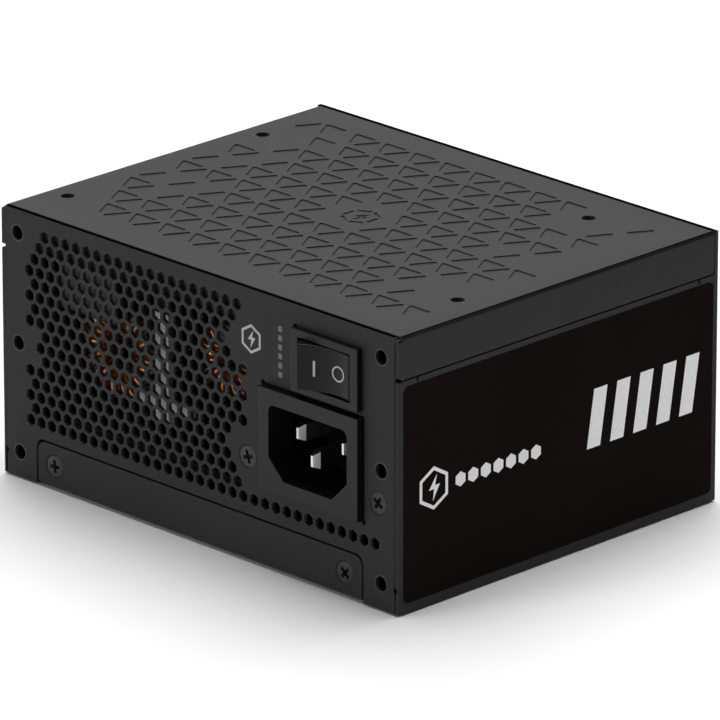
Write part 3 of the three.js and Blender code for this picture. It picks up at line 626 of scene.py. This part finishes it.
LABEL_LOW, LABEL_HIGH = 2.25, 52.1
LABEL_FRONT, LABEL_BACK = -48.5, 48.3
LABEL_CORNER_R = 1.5
LABEL_GAP = 0.02
LABEL_THICK = 0.15
INK_THICK = 0.02
# On a label, whose places run from the mains end: a hexagon with a bolt, a row of small hexagons,
# and a row of slanted bars.
BADGE = (-39.4, 26.8)
BADGE_R, BADGE_INNER_R, BADGE_BOLT = 5.0, 4.1, 3.0
COMB_FIRST, COMB_PITCH, COMB_R, COMBS = (-31.2, 26.7), 3.9, 1.75, 7
BAR_FIRST, BAR_PITCH, BAR_WIDE, BARS = 8.2, 7.35, 4.2, 5
BAR_LOW, BAR_HIGH, BAR_SLANT = 23.0, 36.6, 2.2
# On the mains end: a hexagon with a bolt, and a column of dashes.
FRONT_BADGE = (17.3, 52.0)
FRONT_BADGE_R, FRONT_BADGE_INNER_R, FRONT_BADGE_BOLT = 3.4, 2.75, 2.1
DASH_LEFT, DASH_RIGHT = 25.7, 26.9
DASH_LOW, DASH_TALL, DASH_PITCH, DASHES = 45.4, 1.3, 2.1, 6


def ink(name, outlines, place, face, material, slot, thickness):
    """Flat printed shapes on the plane w = face. The thickness is negative where out is towards -w."""
    bm = bmesh.new()
    for outline in outlines:
        prism(bm, outline, place, face, face + thickness)
    piece(name, bm, "case", slot, material)


def side_label(side, name):
    face = side * (HALF_W + LABEL_GAP)
    bm = bmesh.new()
    outline = rounded_rect(LABEL_FRONT, LABEL_BACK, LABEL_LOW, LABEL_HIGH, LABEL_CORNER_R, 8)
    prism(bm, outline, on_side, face, face + side * LABEL_THICK)
    piece(f"{name}_piece", bm, "case", "label_film", nodes=[name], width=0.04)
    shapes = []
    for i in range(BARS):
        u = BAR_FIRST + i * BAR_PITCH
        shapes.append([(u, BAR_LOW), (u + BAR_WIDE, BAR_LOW),
                       (u + BAR_WIDE + BAR_SLANT, BAR_HIGH), (u + BAR_SLANT, BAR_HIGH)])
    for i in range(COMBS):
        shapes.append(regular(COMB_FIRST[0] + i * COMB_PITCH, COMB_FIRST[1], COMB_R, 6, 30))
    shapes += hexagon_bars(*BADGE, BADGE_R, BADGE_INNER_R)
    shapes.append(bolt_outline(*BADGE, BADGE_BOLT))
    if side < 0:
        # Seen from its own side, each label reads from left to right.
        shapes = [[(-u, v) for u, v in reversed(shape)] for shape in shapes]
    outer = face + side * (LABEL_THICK + 0.002)
    ink(f"{name}_print", shapes, on_side, outer, "label_ink", "label_film", side * INK_THICK)


def front_marks():
    face = FRONT - 0.004
    badge = [*hexagon_bars(*FRONT_BADGE, FRONT_BADGE_R, FRONT_BADGE_INNER_R),
             bolt_outline(*FRONT_BADGE, FRONT_BADGE_BOLT)]
    ink("front_mark", badge, on_front, face, "panel_ink", "powder_coat", -INK_THICK)
    dashes = []
    for i in range(DASHES):
        low = DASH_LOW + i * DASH_PITCH
        dashes.append(rounded_rect(DASH_LEFT, DASH_RIGHT, low, low + DASH_TALL, 0.2, 2))
    ink("front_dashes", dashes, on_front, face, "faint_ink", "powder_coat", -INK_THICK)


# ------------------------------------------------------------------ screws

SCREW_HEAD_R = 2.65
SCREW_SHANK_R = 1.35
SCREW_LENGTH = 5
# Half the length and half the width of a wing of the cross recess, and its height, at either end.
RECESS_TOP = (1.75, 0.46, 0.4)
RECESS_FOOT = (1.0, 0.34, -1.3)
# How far the first screw's cross is turned, and how much further each next one's, in degrees.
SCREW_TURN = (17, 40)
SCREW_PLACES = {
    "inlet_screw_left": "front",
    "inlet_screw_right": "front",
    "front_flap_screw_left": "front",
    "front_flap_screw_right": "front",
    "back_flap_screw_left": "back",
    "back_flap_screw_right": "back",
    "fan_screw_1": "under",
    "fan_screw_2": "under",
    "fan_screw_3": "under",
    "fan_screw_4": "under",
}


def screw_mesh():
    """A countersunk cross-head screw along +Z, with the top of its head at the origin, in metres."""

    def plain(u, v, w):
        return Vector((u, v, w)) * MM

    bm = bmesh.new()
    profile = [(0, 0), (SCREW_HEAD_R - 0.35, 0), (SCREW_HEAD_R - 0.12, -0.1), (SCREW_HEAD_R, -0.35),
               (SCREW_SHANK_R + 0.05, -1.35), (SCREW_SHANK_R, -SCREW_LENGTH), (0, -SCREW_LENGTH)]
    turned(bm, profile, 48, plain)
    obj = new_object("screw", mesh_of(bm, "screw"))
    bm = bmesh.new()
    for turn in (0, 90):
        spin = Matrix.Rotation(math.radians(turn), 3, "Z")
        wing = []
        for u, v, w in (RECESS_TOP, RECESS_FOOT):
            for corner in [(-u, -v, w), (u, -v, w), (u, v, w), (-u, v, w)]:
                wing.append(bm.verts.new(spin @ Vector(corner) * MM))
        for face in [(0, 1, 2, 3), (7, 6, 5, 4), (0, 4, 5, 1), (1, 5, 6, 2), (2, 6, 7, 3), (3, 7, 4, 0)]:
            bm.faces.new([wing[i] for i in face])
    recess = new_object("recess", mesh_of(bm, "recess"))
    joined = recess.modifiers.new("join", "REMESH")
    joined.mode = "VOXEL"
    joined.voxel_size = 0.06 * MM
    applied(recess)
    carve(obj, recess)
    soften(obj, 0, sharp=38)
    mesh = obj.data
    bpy.data.objects.remove(obj)
    return mesh


def screws():
    mesh = screw_mesh()
    facing = {
        "front": Matrix.Rotation(math.radians(90), 4, "X"),
        "back": Matrix.Rotation(math.radians(-90), 4, "X"),
        "under": Matrix.Rotation(math.radians(180), 4, "X"),
    }
    for i, (node, face) in enumerate(SCREW_PLACES.items()):
        low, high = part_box(node)
        middle = (low + high) / 2
        head = {
            "front": Vector((middle.x, low.y, middle.z)),
            "back": Vector((middle.x, high.y, middle.z)),
            "under": Vector((middle.x, middle.y, low.z)),
        }[face]
        obj = new_object(node + "_piece", mesh.copy())
        first, step = SCREW_TURN
        spin = Matrix.Rotation(math.radians(first + step * i), 4, "Z")
        obj.data.transform(Matrix.Translation(head) @ facing[face] @ spin)
        dress(obj, "case", "black_screws", nodes=[node])


# ------------------------------------------------------------------ inlet and switch

# How much of each pin's tip is painted brighter than the rest, as a painted highlight.
PIN_TAPER = 1.7


# The housings' outward front faces, painted lighter than their sides as painted light, with the sides
# standing for sides in shade.
def faces_out(at, normal):
    return normal.y < -0.7 and at.y < FRONT


def inlet():
    housing = finished("inlet_housing", "black_plastic", 0.16)
    repaint(housing, "lit_face_plastic", faces_out)
    for name in ("live", "neutral", "earth"):
        pin = finished(f"inlet_pin_{name}", "nickel_plate", 0.04, angle=20)
        tip = min(corner.co.y for corner in pin.data.vertices) / MM - CASE_Y / MM
        # Painted highlight: the side faces of each pin's tip get a brighter plating.
        repaint(pin, "pin_highlight_plate", lambda at, n: at.y < tip + PIN_TAPER and abs(n.z) < 0.3)


SWITCH_X, SWITCH_Z = 41.2, 51.4
SWITCH_STAND = 1.6
ROCKER_R = 8.59
ROCKER_DEPTH = 3.8
ROCKER_PIVOT_Y = FRONT - SWITCH_STAND + ROCKER_DEPTH
ROCKER_SWING = 24
ROCKER_HALF_TALL = 5.25
ROCKER_DISH = 1.5
AXLE_R, AXLE_HALF = 1.05, 5.8
# The angle at the pivot between the rocker's middle and the ends of its face, and where those ends
# are. At rest one of them is level with the front of the housing.
ROCKER_CORNER = math.acos(ROCKER_DEPTH / ROCKER_R) - math.radians(ROCKER_SWING / 2)
CORNER_U, CORNER_V = ROCKER_R * math.sin(ROCKER_CORNER), -ROCKER_R * math.cos(ROCKER_CORNER)
# The marks: the ring's middle and radii, the bar's sides and half height, and how far the ink stands
# out of the face and into it.
MARK_RING_U = 3.35
MARK_RING_R, MARK_RING_INNER_R = 1.8, 1.45
MARK_BAR_U = (-3.2, -2.7)
MARK_BAR_HALF = 1.8
MARK_PROUD, MARK_SUNK = 0.02, 0.03


def rocker_face(u):
    """The v of the rocker's dished face, at a distance u from its middle."""
    return CORNER_V + ROCKER_DISH * (1 - (u / CORNER_U) ** 2)


def on_rocker(u, v, w):
    """A point of the rocker's own drawing, turned to rest: u across, v towards the inside, w up."""
    turn = math.radians(ROCKER_SWING / 2)
    x = u * math.cos(turn) - v * math.sin(turn)
    y = u * math.sin(turn) + v * math.cos(turn)
    return case_point(SWITCH_X + x, ROCKER_PIVOT_Y + y, SWITCH_Z + w)


def rocker():
    corner = math.degrees(ROCKER_CORNER)
    steps = 20
    across = [-CORNER_U + 2 * CORNER_U * i / steps for i in range(steps + 1)]
    face = [(u, rocker_face(u)) for u in across]
    right = arc(0, 0, ROCKER_R, -90 + corner, -70 + corner, 6)[1:]
    left = arc(0, 0, ROCKER_R, -110 - corner, -90 - corner, 6)[:-1]
    outline = face + right + [(3, 2.4), (-3, 2.4)] + left
    bm = bmesh.new()
    prism(bm, outline, on_rocker, -ROCKER_HALF_TALL, ROCKER_HALF_TALL)
    piece("power_rocker_piece", bm, "rocker", "black_plastic", "rocker_plastic", ["power_rocker"],
          width=0.3, angle=35)
    axle = bmesh.new()
    profile = [(0, -AXLE_HALF), (AXLE_R, -AXLE_HALF), (AXLE_R, AXLE_HALF), (0, AXLE_HALF)]
    turned(axle, profile, 24, on_rocker)
    piece("rocker_axle", axle, "rocker", "black_plastic")


def rocker_mark(name, strip, closed):
    """A thin skin on the dished face. strip holds pairs of (u, w) points along its two edges."""
    bm = bmesh.new()
    rows = []
    for inner, outer in strip:
        section = [(inner, MARK_PROUD), (outer, MARK_PROUD), (outer, -MARK_SUNK), (inner, -MARK_SUNK)]
        rows.append([bm.verts.new(on_rocker(u, rocker_face(u) + lift, w)) for (u, w), lift in section])
    pairs = list(zip(rows, rows[1:]))
    if closed:
        pairs.append((rows[-1], rows[0]))
    for a, b in pairs:
        for k in range(4):
            bm.faces.new((a[k], b[k], b[(k + 1) % 4], a[(k + 1) % 4]))
    if not closed:
        bm.faces.new(rows[0])
        bm.faces.new(list(reversed(rows[-1])))
    piece(name, bm, "rocker", "black_plastic", "panel_ink")


def rocker_marks():
    """The usual on and off signs: a bar on one side and a ring on the other."""
    inner = regular(MARK_RING_U, 0, MARK_RING_INNER_R, 40)
    outer = regular(MARK_RING_U, 0, MARK_RING_R, 40)
    rocker_mark("rocker_mark_off", list(zip(inner, outer)), closed=True)
    left, right = MARK_BAR_U
    steps = 8
    heights = [-MARK_BAR_HALF + 2 * MARK_BAR_HALF * i / steps for i in range(steps + 1)]
    rocker_mark("rocker_mark_on", [((left, w), (right, w)) for w in heights], closed=False)


def switch():
    housing = finished("switch_housing", "black_plastic", 0.12)
    # Painted light and shade: the front face lighter than the black sides.
    repaint(housing, "lit_face_plastic", faces_out)
    finished("switch_terminal_in", "brass", 0.1)
    finished("switch_terminal_out", "brass", 0.1)
    rocker()
    rocker_marks()


# ------------------------------------------------------------------ fan

BLADES = 9
BLADE_ROOT_R, BLADE_SPAN = 16.2, 26.2
BLADE_MIDDLE_Z = 7.6
# Profiles of (radius, height).
HUB = [(0, 2.6), (15.2, 2.6), (16.3, 2.9), (17, 3.8), (17, 12.6), (15.6, 12.6), (15.6, 4.2), (0, 4.2)]
HUB_STICKER = [(0, 2.58), (11.5, 2.58), (11.5, 2.5), (0, 2.5)]
SHAFT = [(0, 4.7), (1.5, 4.7), (1.5, 13), (0, 13)]
BEARING = [(1.8, 5), (4.5, 5), (4.5, 14.2), (1.8, 14.2)]


def blade_point(start, out, chord, skin):
    """A point of a swept, pitched and cambered blade that leaves the hub at the angle start.

    out runs from 0 at the hub to 1 at the tip, chord from -0.5 to 0.5 across the blade, and skin is
    -0.5 or 0.5 for its lower or upper side.
    """
    r = BLADE_ROOT_R + BLADE_SPAN * out
    sweep, reach = 0.35 * out, 0.62 - 0.08 * out
    pitch, camber, thickness = 8.2 - 2 * out, 1.2, 1.2 - 0.4 * out
    angle = start + sweep + chord * reach
    z = BLADE_MIDDLE_Z + chord * pitch + camber * (1 - 4 * chord * chord) + skin * thickness
    return case_point(r * math.cos(angle), r * math.sin(angle), z)


def blade(bm, start):
    rows, columns = 16, 10
    low, high = ([[bm.verts.new(blade_point(start, i / rows, j / columns - 0.5, skin))
                   for j in range(columns + 1)] for i in range(rows + 1)] for skin in (-0.5, 0.5))
    for i in range(rows):
        for j in range(columns):
            bm.faces.new((low[i][j], low[i][j + 1], low[i + 1][j + 1], low[i + 1][j]))
            bm.faces.new((high[i][j], high[i + 1][j], high[i + 1][j + 1], high[i][j + 1]))
    rim = [(i, 0) for i in range(rows)] + [(rows, j) for j in range(columns)]
    rim += [(i, columns) for i in range(rows, 0, -1)] + [(0, j) for j in range(columns, 0, -1)]
    for (a, b), (c, d) in zip(rim, rim[1:] + rim[:1]):
        bm.faces.new((low[a][b], low[c][d], high[c][d], high[a][b]))


def turned_piece(name, profile, sides, body, slot, nodes=()):
    bm = bmesh.new()
    turned(bm, profile, sides, case_point)
    piece(name, bm, body, slot, nodes=nodes)


def fan():
    bm = bmesh.new()
    turned(bm, HUB, 72, case_point)
    for i in range(BLADES):
        blade(bm, 2 * math.pi * i / BLADES)
    piece("fan_rotor_piece", bm, "fan", "black_plastic", nodes=["fan_rotor"])
    turned_piece("fan_hub_sticker", HUB_STICKER, 64, "fan", "label_film")
    turned_piece("fan_shaft_piece", SHAFT, 24, "fan", "nickel_plate", ["fan_shaft"])
    turned_piece("fan_bearing_piece", BEARING, 32, "case", "brass", ["fan_bearing"])
    finished("fan_frame", "black_plastic", 0.2)


# ------------------------------------------------------------------ boards and power parts

PFC_CHOKE = dict(centre=(-36.5, -34.6, 32.5), ring_r=8.35, across=3.1, along=5.0, wire_r=0.5, turns=25)
EMI_CHOKE = dict(centre=(1.8, -38.6, 41), ring_r=6.2, across=2.65, along=3.9, wire_r=0.4, turns=19)
# The angle left bare at the top of a choke, and between it and the ends of its wire, in degrees.
CHOKE_OPEN = 45
WIRE_MARGIN = 4
TURN_POINTS = 16
# A black sleeve over the barrier's upper part, which keeps that part dark.
BARRIER_SLEEVE = [(-20.1, 47.4), (-15.5, 47.4), (-15.5, 58.0), (-20.1, 58.0)]
BARRIER_SLEEVE_Y = (-43.6, -42.2)


def toroid_wire(name, node, centre, ring_r, across, along, wire_r, turns):
    """Wire wound round a toroid that stands on edge and faces the mains end, open at the top.

    across and along are half the section of a turn, which is a square with well rounded corners.
    """
    data = bpy.data.curves.new(name, "CURVE")
    data.dimensions = "3D"
    data.bevel_depth = wire_r * MM
    data.bevel_resolution = 2
    spline = data.splines.new("POLY")
    count = turns * TURN_POINTS
    spline.points.add(count)
    first = 90 + CHOKE_OPEN / 2 + WIRE_MARGIN
    span = 360 - CHOKE_OPEN - 2 * WIRE_MARGIN
    for i in range(count + 1):
        turn = math.radians(first + span * i / count)
        a = 2 * math.pi * i / TURN_POINTS
        rounding = max(abs(math.cos(a)), abs(math.sin(a))) ** 0.55
        r = ring_r + across * math.cos(a) / rounding
        depth = along * math.sin(a) / rounding
        x, z = r * math.cos(turn), r * math.sin(turn)
        place = case_point(centre[0] + x, centre[1] + depth, centre[2] + z)
        spline.points[i].co = (*place, 1)
    curve = new_object(name, data)
    mesh = evaluated_mesh(curve)
    bpy.data.objects.remove(curve)
    obj = new_object(name, mesh)
    obj.data.shade_smooth()
    dress(obj, "case", "copper_wire", nodes=[node])


def boards():
    finished("main_board", "circuit_board", 0.06)
    finished("modular_board", "circuit_board", 0.06)
    finished("insulation_barrier", "insulation_film", 0.15)
    bm = bmesh.new()
    prism(bm, BARRIER_SLEEVE, on_front, *BARRIER_SLEEVE_Y)
    piece("barrier_sleeve", bm, "case", "black_plastic")
    finished("insulation_sheet", "insulation_film", 0)
    for n in range(1, 5):
        finished(f"board_standoff_{n}", "brass", 0.1)


def power_parts():
    finished("pfc_choke_core", "ferrite", 0.4)
    finished("emi_choke_core", "ferrite", 0.3)
    toroid_wire("pfc_choke_wire", "pfc_choke_winding", **PFC_CHOKE)
    toroid_wire("emi_choke_wire", "emi_choke_winding", **EMI_CHOKE)
    finished("transformer_core", "ferrite", 0.4)
    finished("transformer_winding", "copper_wire", 0.3)
    finished("primary_heat_sink", "aluminium", 0.12)
    finished("secondary_heat_sink", "aluminium", 0.12)
    finished("x_capacitor", "capacitor_sleeve", 0.5)
    for node in ("bulk_capacitor", "output_capacitor_1", "output_capacitor_2"):
        finished(node, "capacitor_sleeve", 0.3)
    finished("fan_connector", "black_plastic", 0.3)
    for node in ("fan_lead", "wire_live", "wire_neutral", "wire_earth"):
        lead = finished(node, "wire_sleeve", 0)
        lead.data.set_sharp_from_angle(angle=math.radians(60))


# ------------------------------------------------------------------ output sockets

# The columns of cells in each socket, which all have two rows.
SOCKETS = {
    "socket_board_wide": 9,
    "socket_board_narrow": 5,
    "socket_drive": 5,
    "socket_a": 4,
    "socket_b": 4,
    "socket_c": 4,
    "socket_d": 4,
    "socket_e": 4,
}
CELL_PITCH = 4.2
CONTACT_HALF = 0.55
CONTACT_Y = (44.8, 49)
LATCH_HALF, LATCH_TALL, LATCH_GAP = 2, 0.9, 0.02
LATCH_Y = (50.05, 51.15)


def sockets():
    for node, columns in SOCKETS.items():
        finished(node, "black_plastic", 0.15)
        low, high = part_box(node)
        x = (low.x + high.x) / 2 / MM
        z = (low.z + high.z) / 2 / MM
        bm = bmesh.new()
        for i in range(columns):
            for j in (-0.5, 0.5):
                u = x + (i - (columns - 1) / 2) * CELL_PITCH
                v = z + j * CELL_PITCH
                contact = rounded_rect(u - CONTACT_HALF, u + CONTACT_HALF,
                                       v - CONTACT_HALF, v + CONTACT_HALF, 0.15, 2)
                prism(bm, contact, on_front, *CONTACT_Y)
        piece(f"{node}_contacts", bm, "case", "brass", width=0.1)
        foot = high.z / MM + LATCH_GAP
        bm = bmesh.new()
        prism(bm, [(x - LATCH_HALF, foot), (x + LATCH_HALF, foot),
                   (x + LATCH_HALF, foot + LATCH_TALL), (x - LATCH_HALF, foot + LATCH_TALL)],
              on_front, *LATCH_Y)
        piece(f"{node}_latch", bm, "case", "black_plastic", width=0.15)


# ------------------------------------------------------------------ assembly

make_camera()
make_lights()
make_floor()
case_shell()
side_label(1, "side_label_right")
side_label(-1, "side_label_left")
front_marks()
screws()
inlet()
switch()
fan()
boards()
power_parts()
sockets()
